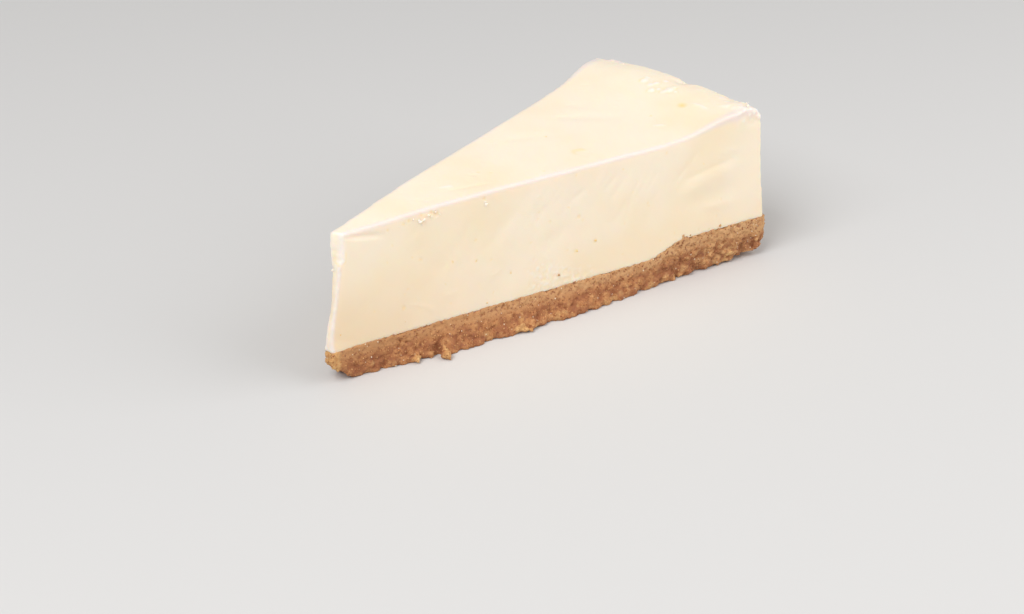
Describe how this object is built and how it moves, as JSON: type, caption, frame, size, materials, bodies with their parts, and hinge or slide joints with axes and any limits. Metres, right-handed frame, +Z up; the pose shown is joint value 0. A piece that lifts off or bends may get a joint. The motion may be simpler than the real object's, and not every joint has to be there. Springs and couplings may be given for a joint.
{
  "type": "baked cheesecake slice",
  "caption": "Wedge-shaped slice of plain baked cheesecake: a thick pale set filling with a raised rim, on a pressed base of biscuit crumbs, to rest on a plate or tray.",
  "frame": {"origin": "centre of the underside, at the level that the slice rests on", "axes": "+X from the slice's tip to its rim, +Y across the slice, +Z up"},
  "size_m": [0.1422, 0.0624, 0.0463],
  "materials": {
    "set_cheese": "pale cream, smooth and faintly moist, soft like a set custard",
    "biscuit_crumb": "brown pressed biscuit crumbs, coarse and matt"
  },
  "bodies": {
    "root": {"cheese_filling": "set_cheese", "biscuit_base": "biscuit_crumb"}
  },
  "joints": []
}
